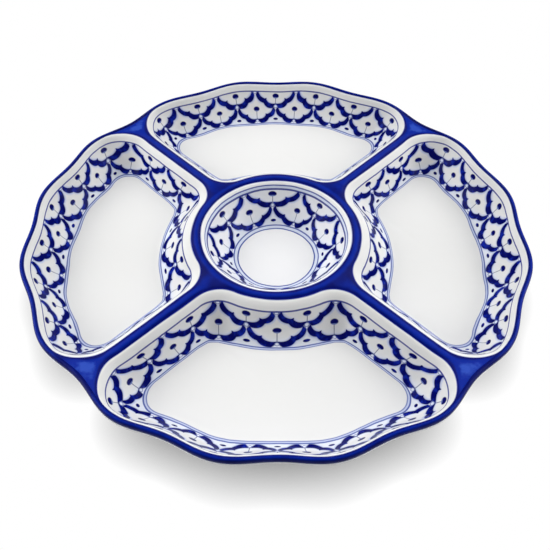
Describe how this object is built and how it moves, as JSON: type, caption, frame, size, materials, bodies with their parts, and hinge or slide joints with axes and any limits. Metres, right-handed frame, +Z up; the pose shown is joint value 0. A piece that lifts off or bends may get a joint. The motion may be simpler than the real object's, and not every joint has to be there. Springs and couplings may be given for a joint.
{
  "type": "divided serving bowl",
  "caption": "Lobed round serving dish with sloping-walled wells round a centre cup, parted by raised dividers and standing on a foot ring.",
  "frame": {"origin": "on the axis of the centre cup, at the underside of the foot ring", "axes": "+Z up along the axis of the cup; the wells lie on -Y (front), +X (right), +Y (back) and -X (left)"},
  "size_m": [0.315, 0.315, 0.0364],
  "materials": {
    "painted_white_glaze": "glossy white glaze over a hand-painted cobalt lattice",
    "cobalt_glaze": "glossy cobalt-blue glaze, darker where it pools",
    "cobalt_rim": "glossy cobalt band over white glaze",
    "foot_ware": "white glaze wiped to bare ware on the tip it stands on"
  },
  "bodies": {
    "root": {"well_front": "painted_white_glaze", "well_right": "painted_white_glaze", "well_back": "painted_white_glaze", "well_left": "painted_white_glaze", "divider_front_left": "cobalt_glaze", "divider_front_right": "cobalt_glaze", "divider_back_left": "cobalt_glaze", "divider_back_right": "cobalt_glaze", "centre_cup": "painted_white_glaze", "cup_collar": "cobalt_glaze", "rim_band": "cobalt_rim", "foot_ring": "foot_ware", "foot_webs": "painted_white_glaze"}
  },
  "joints": []
}
